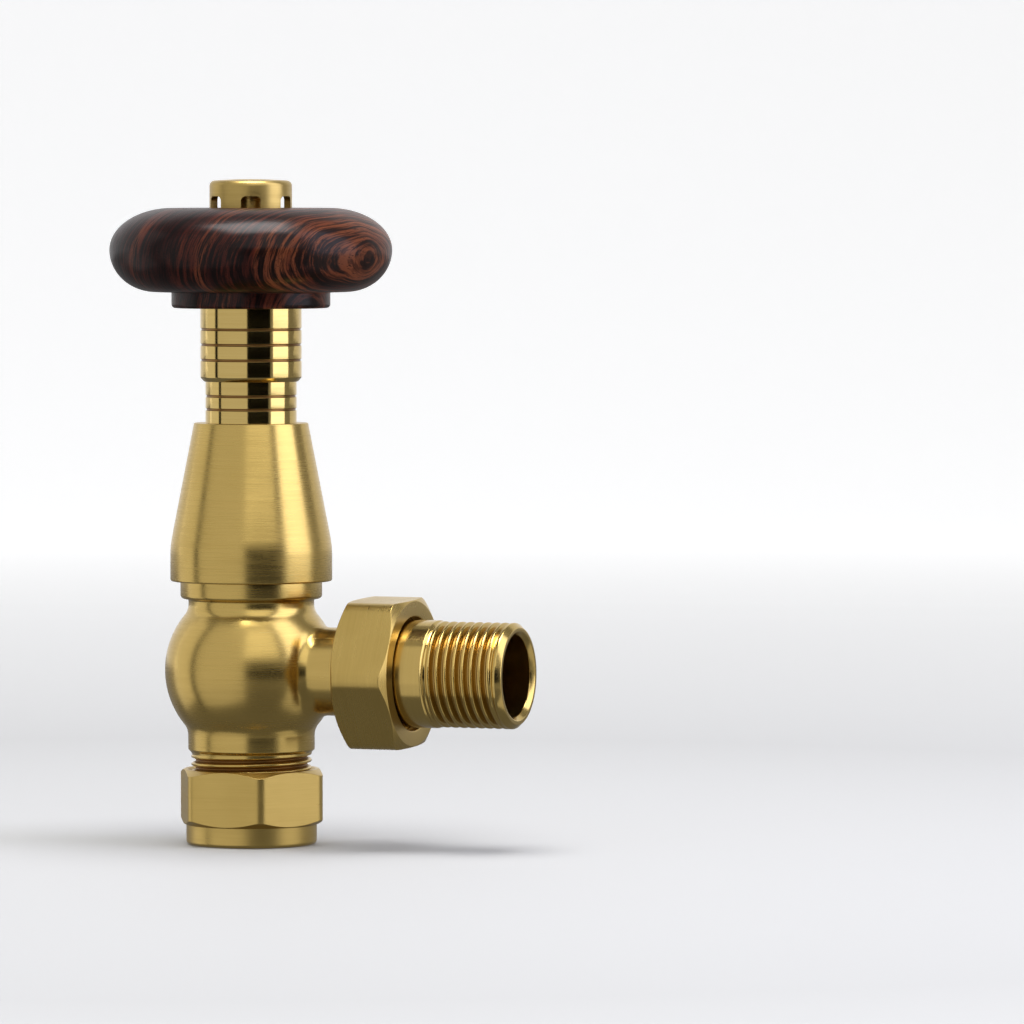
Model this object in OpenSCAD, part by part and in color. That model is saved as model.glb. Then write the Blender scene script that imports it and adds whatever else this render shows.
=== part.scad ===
// Thermostatic angle stop valve for a radiator, with a turned wooden handwheel.
// Millimetres. The origin is the centre of the pipe mouth, in the lower face of the compression nut.
// +Z runs up the pipe, stem and handwheel axis, and +X along the outlet to the radiator.

/* [Pipe inlet] */
// Outside diameter of the supply pipe, with its sliding clearance
socket_d = 15.2; // [15.1:0.1:15.4]
// How far the pipe goes in, from the nut's lower face to the stop
socket_depth = 18; // [16:0.5:18]
// Outside diameter of the body's compression thread
inlet_thread_d = 24; // [23:0.5:24.5]
// Width across the flats of the compression nut
inlet_nut_af = 27; // [27:0.5:30]

/* [Radiator union] */
// Outside diameter of the thread that goes into the radiator, 1/2 inch pipe thread
tail_thread_d = 20.955; // [20.8:0.005:21]
// Pitch of that thread, 14 to the inch
tail_pitch = 1.814; // [1.75:0.001:1.9]
// Distance from the stem's axis to the end of the tail
tail_reach = 57.3; // [56.3:0.5:60.3]
// Width across the flats of the union nut
union_nut_af = 29; // [29:0.5:31]

/* [Body] */
// Diameter of the globe
globe_d = 34.4; // [34:0.2:36]
// Height of the outlet's axis, and of the globe's centre
outlet_z = 34.7; // [34.5:0.1:35]
// Outside diameter of the neck between the globe and the union nut
outlet_neck_d = 17.5; // [17:0.1:18]

/* [Head] */
// Outside diameter of the wooden handwheel
wheel_d = 56.2; // [50:0.2:60]
// Thickness of the handwheel's rim
wheel_h = 16.7; // [16:0.1:17]
// How far the head rises or falls in one turn
head_lead = 2.65; // [2:0.05:2.65]
// Turns from fully open to shut
head_turns = 2; // [1:0.5:2]
// Number of air slots in the cap
slot_count = 6; // [4:1:8]

/* [Hidden] */
$fn = 96;

fit = 0.05;              // radial clearance of a part that is screwed or pressed in
slide = 0.1;             // radial clearance of a part that turns or slides
inlet_pitch = 1.5;       // metric pitch of the compression thread
stroke = head_lead * head_turns;

// compression end
inlet_collar_h = 4;
inlet_collar_d = 26;
inlet_nut_h = 15;
nut_corner_d = 30.8;     // the nuts' corners are turned down to this
cone_z = 3;              // where the nut's cone for the olive starts
cone_h = 2;
cone_d = socket_d + 2 * cone_h;
body_foot_z = 5.5;
inlet_thread_top = 18.3;
lower_neck_d = 25.2;
lower_neck_z = inlet_thread_top + 0.6;

// waterway
seat_z = 27;
seat_bore_d = 12;
chamber_d = 21.2;
chamber_z = 26.5;
chamber_top = 45;
outlet_bore_d = 13;

// upper neck and collar
upper_neck_d = 25;
collar_d = 28.2;
collar_z = 48.9;
collar_edge = 2.3;
neck_fillet = 3.5;
outlet_fillet = 4;
collar_top = 56;
bonnet_bore_d = 19.6;
grip_groove_z = 54.3;

// union
boss_d = 26.441;         // 3/4 inch pipe thread
boss_x = 23.6;
boss_end = 31.5;
union_nut_x = 23.1;
union_nut_end = 35.1;
union_nut_turn = 32.7;
union_corner_d = 32.6;
union_shoulder_x = 33;
union_hole_d = 22.6;
tail_flange_d = 25.2;
tail_shank_d = 21.3;
tail_thread_x = 41.3;
tail_bore_d = 16;
key_af = 12.2;           // hexagon for the fitting key inside the tail

// stem, spring and gland
stem_d = 4;
stem_guide_d = 6;
disc_z = seat_z + stroke + 0.05;   // lower face of the soft disc, fully open
stem_foot_z = disc_z - 1.6;
stem_flange_z = 55.5;
stem_tip_z = 79.5;
spring_seat_z = 43.5;
bonnet_foot_z = 42;
bonnet_hex_z = 57;
bonnet_thread_z = 62;
bonnet_top = 70;
gland_z = 66.4;
gland_d = 12;
gland_top = 73;

// sleeves and shroud
sleeve_d = 18.2;
sleeve_bore_d = 12.4;
sleeve_foot_z = 65.1;
sleeve_foot_d = 23;
sleeve_foot_h = 7;
sleeve_web_z = 70.2;
sleeve_step_z = 94.1;
sleeve_top = 106;
lead_thread_d = 16;
lead_nut_z = 99.7;
stop_z = 104.3;          // groove of the ring that stops the head at fully open
stop_h = 0.9;
stop_groove_d = 14.6;
shroud_z = 52.4;
shroud_top = 83.9;
shroud_wall = 1.4;
upper_sleeve_d = 20.2;
upper_sleeve_z = 92.1;
upper_sleeve_top = 119;
upper_sleeve_step = 113;
ring_depth = 0.25;
ring_width = 0.4;

// handwheel, sensor and cap
capsule_d = 11.6;
capsule_z = 86;
wheel_z = 106.7;
wheel_collar_h = 3.2;
wheel_collar_d = 31.6;
wheel_mid_z = wheel_z + wheel_collar_h + wheel_h / 2;
wheel_top = wheel_mid_z + wheel_h / 2;
wheel_dish_z = wheel_top - 2;
bush_d = 24.8;
cap_d = 16.4;
cap_bore_d = 13.6;
cap_z = 114;
cap_top = 132.3;
slot_w = 3.9;
slot_top = 128.9;
slot_z = 125.2;
slot_turn = 53.5;        // turns the slots so that one faces the front quarter

brass = "#c9a860";
brass_dark = "#a98a4a";
wood = "#4a1c17";
rubber = "#222222";
steel = "#b9bcc0";
plastic = "#e8e2d0";

// ---- shapes used more than once

// a ring between two radii, from z up to top
module ring(outer_d, inner_d, z, top) {
    translate([0, 0, z]) difference() {
        cylinder(d = outer_d, h = top - z);
        translate([0, 0, -1]) cylinder(d = inner_d, h = top - z + 2);
    }
}

// an O-ring lying flat
module o_ring(mid_d, section_d, z) {
    translate([0, 0, z]) rotate_extrude() translate([mid_d / 2, 0]) circle(d = section_d);
}

// a hexagonal bar with its corners turned down and 30 degree chamfers turned on both ends
module hex_bar(af, z, top, chamfer_d, corner_d = 100) {
    corner_r = min(af / sqrt(3) + 1, corner_d / 2);
    drop = (corner_r - chamfer_d / 2) * tan(30);
    intersection() {
        translate([0, 0, z]) cylinder(d = af / cos(30), h = top - z, $fn = 6);
        rotate_extrude() polygon([
            [0, z], [chamfer_d / 2, z], [corner_r, z + drop],
            [corner_r, top - drop], [chamfer_d / 2, top], [0, top]
        ]);
    }
}

// V-grooves cut as rings at a thread's pitch, with flat crests at the full diameter
module thread_grooves(d, pitch, z, top) {
    depth = 0.64 * pitch;
    crest = pitch / 6;
    count = floor((top - z) / pitch);
    for (i = [0 : count - 1])
        translate([0, 0, z + (i + 0.5) * pitch]) rotate_extrude() polygon([
            [d / 2 + 0.5, -(pitch - crest) / 2], [d / 2, -(pitch - crest) / 2],
            [d / 2 - depth, -0.05], [d / 2 - depth, 0.05],
            [d / 2, (pitch - crest) / 2], [d / 2 + 0.5, (pitch - crest) / 2]
        ]);
}

// the fillet where a round neck grows out of the globe, as a solid of revolution about the neck's axis
module globe_fillet(neck_d, fillet_r) {
    globe_r = globe_d / 2;
    mid_r = neck_d / 2 + fillet_r;
    mid_h = sqrt(pow(globe_r + fillet_r, 2) - pow(mid_r, 2));
    share = globe_r / (globe_r + fillet_r);
    rotate_extrude() difference() {
        polygon([
            [neck_d / 2 - 2, mid_h * share - 2], [mid_r * share, mid_h * share],
            [mid_r, mid_h], [neck_d / 2, mid_h], [neck_d / 2 - 2, mid_h]
        ]);
        translate([mid_r, mid_h]) circle(r = fillet_r);
    }
}

// a coil spring of round wire, swept as one closed tube
module coil(mid_r, wire_r, z, top, turns, sides = 8, steps = 18) {
    rise = top - z - 2 * wire_r;
    count = turns * steps;
    slope = atan2(rise, 360 * turns * mid_r * PI / 180);
    points = [
        for (i = [0 : count])
            let (a = 360 * i / steps, h = z + wire_r + rise * i / count)
                for (k = [0 : sides - 1])
                    let (b = 360 * k / sides, out = mid_r + wire_r * cos(b), up = wire_r * sin(b))
                        [
                            out * cos(a) + up * sin(slope) * sin(a),
                            out * sin(a) - up * sin(slope) * cos(a),
                            h + up * cos(slope)
                        ]
    ];
    faces = concat(
        [[for (k = [0 : sides - 1]) k]],
        [for (i = [0 : count - 1], k = [0 : sides - 1])
            let (a = i * sides, b = a + sides, next = (k + 1) % sides)
                [a + k, b + k, b + next, a + next]],
        [[for (k = [sides - 1 : -1 : 0]) count * sides + k]]
    );
    polyhedron(points, faces);
}

// turns a shape built up +Z so that it runs along +X from the globe's centre
module along_outlet() {
    translate([0, 0, outlet_z]) rotate([0, 90, 0]) children();
}

// ---- body and connections

module valve_body() {
    color(brass) difference() {
        union() {
            translate([0, 0, outlet_z]) sphere(d = globe_d);
            // lower neck and compression thread
            translate([0, 0, inlet_thread_top]) cylinder(d1 = lower_neck_d - 1.2, d2 = lower_neck_d, h = 0.6);
            translate([0, 0, lower_neck_z]) cylinder(d = lower_neck_d, h = outlet_z - lower_neck_z);
            translate([0, 0, outlet_z]) mirror([0, 0, 1]) globe_fillet(lower_neck_d, neck_fillet);
            difference() {
                translate([0, 0, body_foot_z])
                    cylinder(d = inlet_thread_d, h = inlet_thread_top - body_foot_z);
                thread_grooves(inlet_thread_d, inlet_pitch, body_foot_z + 0.3, inlet_thread_top);
            }
            // upper neck and the collar under the shroud
            translate([0, 0, outlet_z]) cylinder(d = upper_neck_d, h = collar_top - outlet_z - 1);
            translate([0, 0, outlet_z]) globe_fillet(upper_neck_d, neck_fillet);
            rotate_extrude() difference() {
                union() {
                    translate([0, collar_z + collar_edge])
                        square([collar_d / 2, collar_top - collar_z - collar_edge]);
                    translate([0, collar_z]) square([collar_d / 2 - collar_edge, 2]);
                    translate([collar_d / 2 - collar_edge, collar_z + collar_edge]) circle(r = collar_edge);
                }
                translate([collar_d / 2 - 1, grip_groove_z - 0.8]) square([2, 1.6]);
            }
            // outlet neck and the threaded boss inside the union nut
            along_outlet() {
                cylinder(d = outlet_neck_d, h = boss_x + 1);
                globe_fillet(outlet_neck_d, outlet_fillet);
                difference() {
                    translate([0, 0, boss_x]) cylinder(d = boss_d, h = boss_end - boss_x);
                    thread_grooves(boss_d, tail_pitch, boss_x + 0.2, boss_end);
                }
            }
        }
        // pipe socket with its cone for the olive, then the waterway up to the seat
        translate([0, 0, body_foot_z - 1]) cylinder(d = socket_d, h = socket_depth - body_foot_z + 1);
        translate([0, 0, body_foot_z]) cylinder(d1 = cone_d, d2 = socket_d, h = 3);
        translate([0, 0, body_foot_z - 1]) cylinder(d = cone_d, h = 1);
        translate([0, 0, socket_depth - 1]) cylinder(d = seat_bore_d, h = seat_z - socket_depth + 2);
        // chamber, with the seat's lip left standing in it
        difference() {
            translate([0, 0, chamber_z]) cylinder(d = chamber_d, h = chamber_top - chamber_z);
            translate([0, 0, chamber_z - 1]) cylinder(d = seat_bore_d + 2.4, h = seat_z - chamber_z + 1);
        }
        translate([0, 0, chamber_top - 1]) cylinder(d = bonnet_bore_d, h = collar_top - chamber_top + 2);
        // outlet bore with the cone that seals on the tail
        along_outlet() {
            translate([0, 0, 6]) cylinder(d = outlet_bore_d, h = boss_end - 5);
            translate([0, 0, boss_end - 3.9]) cylinder(d1 = outlet_bore_d, d2 = outlet_bore_d + 7.8, h = 3.9);
            translate([0, 0, boss_end]) cylinder(d = outlet_bore_d + 7.8, h = 1);
        }
    }
}

module compression_nut() {
    thread_d = inlet_thread_d + 2 * slide;
    color(brass) difference() {
        union() {
            hex_bar(inlet_nut_af, inlet_collar_h, inlet_nut_h, inlet_nut_af - 0.2, nut_corner_d);
            translate([0, 0, 0.8]) cylinder(d = inlet_collar_d, h = inlet_collar_h);
            cylinder(d1 = inlet_collar_d - 1.6, d2 = inlet_collar_d, h = 0.8);
        }
        translate([0, 0, -1]) cylinder(d = socket_d, h = cone_z + 2);
        translate([0, 0, cone_z]) cylinder(d1 = socket_d, d2 = cone_d, h = cone_h);
        translate([0, 0, cone_z + cone_h]) cylinder(d = thread_d, h = inlet_nut_h);
        translate([0, 0, inlet_nut_h - 0.6]) cylinder(d1 = thread_d, d2 = thread_d + 1.4, h = 0.7);
    }
}

module compression_olive() {
    ridge_d = cone_d - 0.8;
    color(brass_dark) rotate_extrude() polygon([
        [socket_d / 2, 3.25], [socket_d / 2 + 0.15, 3.25], [ridge_d / 2, 4.85],
        [ridge_d / 2, 5.8], [socket_d / 2 + 0.15, 8.1], [socket_d / 2, 8.1]
    ]);
}

module union_nut() {
    cavity_d = boss_d + 2 * slide;
    color(brass) along_outlet() rotate([0, 0, union_nut_turn]) difference() {
        hex_bar(union_nut_af, union_nut_x, union_nut_end, union_nut_af - 0.3, union_corner_d);
        translate([0, 0, union_nut_x - 1]) cylinder(d = cavity_d, h = union_shoulder_x - union_nut_x + 1);
        translate([0, 0, union_nut_x - 0.1]) cylinder(d1 = cavity_d + 1, d2 = cavity_d, h = 0.6);
        translate([0, 0, union_nut_x]) cylinder(d = union_hole_d, h = 20);
    }
}

module union_tail() {
    shank_end = tail_thread_x - 0.8;
    thread_end = tail_reach - 0.9;
    color(brass) along_outlet() difference() {
        union() {
            // nose that seats in the body's cone, flange under the nut, then the plain shank
            translate([0, 0, 28.2]) cylinder(d1 = 14, d2 = 20.7, h = 3.35);
            translate([0, 0, 31.5]) cylinder(d = 20.4, h = 0.2);
            translate([0, 0, 31.6]) cylinder(d = tail_flange_d, h = union_shoulder_x - 31.65);
            translate([0, 0, 32]) cylinder(d = tail_shank_d, h = shank_end - 32);
            translate([0, 0, shank_end]) cylinder(d1 = tail_shank_d, d2 = 19, h = 0.8);
            difference() {
                translate([0, 0, shank_end]) cylinder(d = tail_thread_d, h = thread_end - shank_end);
                thread_grooves(tail_thread_d, tail_pitch, tail_thread_x, thread_end);
            }
            translate([0, 0, thread_end])
                cylinder(d1 = tail_thread_d, d2 = 19.2, h = tail_reach - thread_end);
        }
        // seal groove in the nose
        translate([0, 0, 29.55]) difference() {
            cylinder(d = 30, h = 1.5);
            translate([0, 0, -1]) cylinder(d = 14.9, h = 4);
        }
        // waterway, hexagon for the fitting key and the wide mouth
        translate([0, 0, 27]) cylinder(d = 12, h = 12);
        translate([0, 0, 36]) cylinder(d = key_af / cos(30), h = 6, $fn = 6);
        translate([0, 0, 41]) cylinder(d = tail_bore_d, h = tail_reach);
        translate([0, 0, tail_reach - 0.6]) cylinder(d1 = tail_bore_d, d2 = tail_bore_d + 1.6, h = 0.8);
    }
}

module tail_seal_ring() {
    color(rubber) along_outlet() o_ring(16.4, 1.4, 30.3);
}

// ---- valve insert

module bonnet() {
    thread_d = bonnet_bore_d - 2 * fit;
    color(brass_dark) difference() {
        union() {
            difference() {
                translate([0, 0, bonnet_foot_z]) cylinder(d = thread_d, h = bonnet_hex_z - bonnet_foot_z + 1);
                thread_grooves(thread_d, 1, 46, 55);
            }
            hex_bar(24, bonnet_hex_z, bonnet_thread_z, 23.4);
            difference() {
                translate([0, 0, bonnet_thread_z - 1]) cylinder(d = 18, h = bonnet_top - bonnet_thread_z + 1);
                thread_grooves(18, 1, bonnet_thread_z, bonnet_top);
            }
        }
        // spring pocket above its seat, stem guide, seal pocket and gland thread
        translate([0, 0, bonnet_foot_z - 1]) cylinder(d = stem_guide_d + 2 * slide, h = 4);
        translate([0, 0, spring_seat_z]) cylinder(d = 14.4, h = 14.7);
        translate([0, 0, spring_seat_z]) cylinder(d = stem_d + 2 * slide, h = 30);
        translate([0, 0, 62.6]) cylinder(d = 7.8, h = 5);
        translate([0, 0, gland_z]) cylinder(d = gland_d, h = 10);
    }
}

module bonnet_seal() {
    color(rubber) ring(26.4, bonnet_bore_d + 0.1, collar_top, bonnet_hex_z);
}

module gland_nut() {
    color(brass) difference() {
        union() {
            translate([0, 0, gland_z]) cylinder(d = gland_d - 2 * fit, h = bonnet_top - gland_z + 0.5);
            hex_bar(10, bonnet_top + 0.1, gland_top, 9.8);
        }
        translate([0, 0, gland_z - 1]) cylinder(d = stem_d + 2 * slide, h = 12);
    }
}

module stem_seal_rings() {
    color(rubber) for (z = [63.5, 65.5]) o_ring(stem_d + 1.95, 1.7, z);
}

module valve_stem() {
    color(steel) {
        translate([0, 0, stem_foot_z]) cylinder(d = stem_d, h = stem_tip_z - stem_foot_z - 0.6);
        translate([0, 0, 37.4]) cylinder(d = stem_guide_d, h = stem_flange_z - 37.4 + 0.5);
        translate([0, 0, stem_flange_z]) cylinder(d = 13.2, h = 1.2);
        translate([0, 0, stem_tip_z - 0.6]) cylinder(d1 = stem_d, d2 = stem_d - 1, h = 0.6);
    }
}

module disc_holder() {
    color(brass_dark) difference() {
        translate([0, 0, 33.3]) cylinder(d = 18, h = 4);
        translate([0, 0, 32]) cylinder(d = 16.5, h = 2.85);
        translate([0, 0, 32]) cylinder(d = stem_d + 2 * fit, h = 8);
    }
}

module valve_disc() {
    color(rubber) ring(16.4, stem_d + 2 * fit, disc_z, disc_z + 2.45);
}

module disc_clip() {
    color(steel) ring(6.4, stem_d + 2 * fit, disc_z - 0.8, disc_z - 0.05);
}

module return_spring() {
    color(steel) coil(5.2, 0.45, spring_seat_z + 0.02, stem_flange_z - 0.02, 6);
}

// ---- sleeves and shroud

module sleeve_lock_nut() {
    color(brass_dark) difference() {
        hex_bar(22, bonnet_thread_z + 0.1, sleeve_foot_z - 0.1, 21.6);
        translate([0, 0, bonnet_thread_z - 1]) cylinder(d = 18 + 2 * fit, h = 6);
    }
}

module guide_sleeve() {
    color(brass) difference() {
        union() {
            translate([0, 0, sleeve_foot_z]) cylinder(d = sleeve_foot_d, h = sleeve_foot_h);
            translate([0, 0, sleeve_foot_z]) cylinder(d = sleeve_d, h = sleeve_step_z - sleeve_foot_z);
            difference() {
                translate([0, 0, sleeve_web_z]) cylinder(d = lead_thread_d, h = sleeve_top - sleeve_web_z);
                thread_grooves(lead_thread_d, head_lead / 2, sleeve_step_z + 0.2, stop_z - 0.2);
            }
        }
        translate([0, 0, sleeve_foot_z - 1]) cylinder(d = 18 + 2 * fit, h = sleeve_web_z - sleeve_foot_z + 1);
        translate([0, 0, sleeve_foot_z]) cylinder(d = sleeve_bore_d, h = sleeve_top);
        for (z = [86.6, 89.25]) sleeve_ring(sleeve_d, z);
        ring(lead_thread_d + 1, stop_groove_d, stop_z, stop_z + stop_h);
    }
}

// a fine ring cut round a sleeve
module sleeve_ring(d, z) {
    ring(d + 1, d - 2 * ring_depth, z - ring_width / 2, z + ring_width / 2);
}

module travel_stop_ring() {
    color(steel) difference() {
        ring(sleeve_d - 0.4, stop_groove_d + 0.1, stop_z + 0.05, stop_z + stop_h - 0.05);
        rotate([0, 0, 90]) translate([0, -1.5, stop_z - 1]) cube([20, 3, 3]);
    }
}

module cone_shroud() {
    color(brass) rotate_extrude() difference() {
        shroud_outline(0);
        shroud_outline(shroud_wall);
        translate([0, shroud_top - 3]) square([sleeve_d / 2 + fit, 4]);
    }
}

// the shroud's half outline, a straight foot bending into a taper, taken in by a wall
module shroud_outline(wall) {
    foot_r = 16.1 - wall;
    lean = 11;
    bend_r = 18.9 - wall;
    bend_z = 57.7;
    bend_in = foot_r - bend_r * (1 - cos(lean));
    bend_top = bend_z + bend_r * sin(lean);
    top = shroud_top - 1.5 * wall;
    polygon(concat(
        [[0, shroud_z - wall], [foot_r, shroud_z - wall]],
        [for (a = [0 : lean / 4 : lean]) [foot_r - bend_r * (1 - cos(a)), bend_z + bend_r * sin(a)]],
        [[bend_in - (top - bend_top) * tan(lean), top], [0, top]]
    ));
}

module shroud_grip_ring() {
    color(rubber) o_ring(27.85, 1.45, grip_groove_z);
}

module lead_nut() {
    color(brass_dark) ring(sleeve_d, lead_thread_d + 2 * slide, lead_nut_z, stop_z - 0.1);
}

module upper_sleeve() {
    sleeve_h = upper_sleeve_top - upper_sleeve_z;
    color(brass) difference() {
        union() {
            translate([0, 0, upper_sleeve_z + 0.8]) cylinder(d = upper_sleeve_d, h = sleeve_h - 0.8);
            translate([0, 0, upper_sleeve_z])
                cylinder(d1 = upper_sleeve_d - 1.2, d2 = upper_sleeve_d, h = 0.8);
        }
        translate([0, 0, upper_sleeve_step - 30]) cylinder(d = sleeve_d + 2 * slide, h = 30);
        translate([0, 0, upper_sleeve_step - 1]) cylinder(d = cap_d + 2 * fit, h = 10);
        for (z = [96.4, 99.45, 102.5]) sleeve_ring(upper_sleeve_d, z);
    }
}

// ---- handwheel and thermostatic head

module wheel_bush() {
    color(brass_dark) difference() {
        ring(bush_d, upper_sleeve_d + 2 * fit, wheel_z + 1.3, upper_sleeve_top);
        for (a = [0, 180]) grub_screw(a, 3.1);
    }
}

module bush_grub_screws() {
    color(steel) for (a = [0, 180]) intersection() {
        grub_screw(a, 3);
        ring(bush_d - 0.2, upper_sleeve_d + 4 * fit, wheel_z, upper_sleeve_top);
    }
}

// the place of one radial grub screw in the bush
module grub_screw(a, d) {
    rotate([0, 0, a]) translate([8, 0, 113]) rotate([0, 90, 0]) cylinder(d = d, h = 6);
}

module handwheel() {
    rim_r = wheel_d / 2;
    upper_r = 15.6;       // where the crown of the rim is highest
    lower_r = 19;         // where the rim's underside turns flat
    edge_r = wheel_collar_d / 2 - 0.8;
    half = wheel_h / 2;
    color(wood) difference() {
        rotate_extrude() polygon(concat(
            [[0, wheel_z], [edge_r, wheel_z]],
            [for (a = [-67.5 : 22.5 : 0]) [edge_r + 0.8 * cos(a), wheel_z + 0.8 + 0.8 * sin(a)]],
            [[wheel_collar_d / 2, wheel_mid_z - half]],
            [for (a = [-90 : 7.5 : 0]) [lower_r + (rim_r - lower_r) * cos(a), wheel_mid_z + half * sin(a)]],
            [for (a = [7.5 : 7.5 : 90]) [upper_r + (rim_r - upper_r) * cos(a), wheel_mid_z + half * sin(a)]],
            [[13, wheel_top - 0.35], [10.5, wheel_dish_z + 0.4], [9.2, wheel_dish_z], [0, wheel_dish_z]]
        ));
        translate([0, 0, wheel_z - 1]) cylinder(d = upper_sleeve_d + 0.2, h = 5);
        translate([0, 0, wheel_z + 1.2]) cylinder(d = bush_d + 2 * fit, h = upper_sleeve_top - wheel_z - 1.2);
        translate([0, 0, wheel_z]) cylinder(d = cap_d + 0.2, h = 30);
    }
}

module sensor_capsule() {
    color(steel) {
        translate([0, 0, 88]) cylinder(d = capsule_d, h = 24.8);
        translate([0, 0, capsule_z]) cylinder(d1 = 8, d2 = capsule_d, h = 2);
    }
}

module sensor_cradle() {
    color(plastic) {
        ring(17.8, capsule_d + 0.1, 111.6, 112.9);
        translate([0, 0, 112.85]) cylinder(d = 15.6, h = 1.1);
    }
}

module push_rod() {
    color(steel) translate([0, 0, stem_tip_z + fit]) cylinder(d = 3, h = capsule_z - stem_tip_z - fit);
}

module overtravel_spring() {
    color(steel) coil(5.6, 0.45, 114.05, 121.45, 5);
}

module spring_plate() {
    color(steel) {
        difference() {
            translate([0, 0, 121.5]) cylinder(d = 13.9, h = 1);
            for (a = [0 : 60 : 300]) rotate([0, 0, a]) translate([5.5, 0, 121]) cylinder(d = 1.6, h = 2);
        }
        // the middle post that closes the view through the slots
        translate([0, 0, 122.4]) cylinder(d = 8.4, h = 7);
        translate([0, 0, 129.4]) cylinder(d1 = 8.4, d2 = 7, h = 0.7);
    }
}

module vent_cap() {
    edge_r = 1.6;
    color(brass) difference() {
        union() {
            translate([0, 0, cap_z]) cylinder(d = cap_d, h = cap_top - cap_z - edge_r);
            cylinder_rounded(cap_d, cap_top, edge_r);
        }
        translate([0, 0, cap_z - 1]) cylinder(d = 14, h = 122.5 - cap_z + 1);
        translate([0, 0, cap_z]) cylinder(d = cap_bore_d, h = 130.6 - cap_z);
        for (i = [0 : slot_count - 1]) rotate([0, 0, 360 * i / slot_count + slot_turn]) air_slot();
    }
}

// the rounded top end of a cylinder, reaching down two edge radii
module cylinder_rounded(d, top, edge_r) {
    rotate_extrude() {
        translate([0, top - 2 * edge_r]) square([d / 2, edge_r]);
        translate([0, top - edge_r]) square([d / 2 - edge_r, edge_r]);
        intersection() {
            translate([d / 2 - edge_r, top - edge_r]) circle(r = edge_r);
            translate([0, top - edge_r]) square([d, edge_r]);
        }
    }
}

// one air slot through the cap's wall along +X, with two rounded top corners
module air_slot() {
    corner_r = 1;
    translate([4, 0, 0]) rotate([90, 0, 90]) linear_extrude(6) union() {
        translate([-slot_w / 2, slot_z]) square([slot_w, slot_top - slot_z - corner_r]);
        translate([corner_r - slot_w / 2, slot_z]) square([slot_w - 2 * corner_r, slot_top - slot_z]);
        for (s = [-1, 1]) translate([s * (slot_w / 2 - corner_r), slot_top - corner_r]) circle(r = corner_r);
    }
}

valve_body();
compression_nut();
compression_olive();
union_nut();
union_tail();
tail_seal_ring();
bonnet();
bonnet_seal();
gland_nut();
stem_seal_rings();
valve_stem();
disc_holder();
valve_disc();
disc_clip();
return_spring();
sleeve_lock_nut();
guide_sleeve();
travel_stop_ring();
cone_shroud();
shroud_grip_ring();
lead_nut();
upper_sleeve();
wheel_bush();
bush_grub_screws();
handwheel();
sensor_capsule();
sensor_cradle();
push_rod();
overtravel_spring();
spring_plate();
vent_cap();
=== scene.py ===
import math
import bmesh
import bpy
import numpy as np
from mathutils import Matrix, Vector


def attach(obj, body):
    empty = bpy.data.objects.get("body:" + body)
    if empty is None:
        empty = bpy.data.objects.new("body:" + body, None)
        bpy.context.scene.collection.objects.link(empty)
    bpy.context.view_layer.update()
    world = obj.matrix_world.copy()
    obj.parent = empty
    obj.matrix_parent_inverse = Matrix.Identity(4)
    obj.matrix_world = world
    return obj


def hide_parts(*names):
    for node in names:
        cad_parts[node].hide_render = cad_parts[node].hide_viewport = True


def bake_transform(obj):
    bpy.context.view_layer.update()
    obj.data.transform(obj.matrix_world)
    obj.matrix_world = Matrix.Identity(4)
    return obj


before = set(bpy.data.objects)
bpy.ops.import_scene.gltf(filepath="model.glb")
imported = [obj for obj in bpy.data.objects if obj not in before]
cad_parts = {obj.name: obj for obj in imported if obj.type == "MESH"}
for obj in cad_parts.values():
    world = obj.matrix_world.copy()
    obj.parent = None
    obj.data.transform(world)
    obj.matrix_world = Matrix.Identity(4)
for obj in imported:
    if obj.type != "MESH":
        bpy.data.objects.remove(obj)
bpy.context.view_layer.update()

scene = bpy.context.scene
mm = 0.001
arcStep = 11  # degrees between points round a rounded corner
weldDistance = 2e-6
threadSides = 160
nutSides = 288
rowsPerTurn = 20
print("frame loaded:", len(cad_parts), "nodes")


# turning and joining meshes

def rounded(points, sizes):
    # points are (radius, height, corner rounding), as numbers or as names in the sizes, and each
    # rounded corner becomes an arc
    points = [[sizes[v] if isinstance(v, str) else v for v in point] for point in points]
    out = []
    for i, (r, h, size) in enumerate(points):
        here = np.array([r, h], float)
        if size == 0 or i in (0, len(points) - 1):
            out.append(here)
            continue
        back = np.array(points[i - 1][:2], float) - here
        ahead = np.array(points[i + 1][:2], float) - here
        backLength, aheadLength = np.linalg.norm(back), np.linalg.norm(ahead)
        back, ahead = back / backLength, ahead / aheadLength
        half = math.acos(max(-1, min(1, back @ ahead))) / 2
        if half > math.radians(89):
            out.append(here)
            continue
        # an arc takes less than half of either side, so that two never meet
        reach = min(size / math.tan(half), 0.49 * backLength, 0.49 * aheadLength)
        size = reach * math.tan(half)
        middle = here + (back + ahead) / np.linalg.norm(back + ahead) * size / math.sin(half)
        start, end = here + back * reach - middle, here + ahead * reach - middle
        turn = math.atan2(start[0] * end[1] - start[1] * end[0], start @ end)
        count = max(2, math.ceil(abs(math.degrees(turn)) / arcStep))
        for k in range(count + 1):
            cos, sin = math.cos(turn * k / count), math.sin(turn * k / count)
            out.append(middle + np.array([start[0] * cos - start[1] * sin,
                                          start[0] * sin + start[1] * cos]))
    return [tuple(p) for p in out]


def arc(centre, radius, first, last, count):
    # points on a circle, with the angle in degrees from the outward direction
    return [(centre[0] + radius * math.cos(a), centre[1] + radius * math.sin(a))
            for a in np.radians(np.linspace(first, last, count))]


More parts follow.
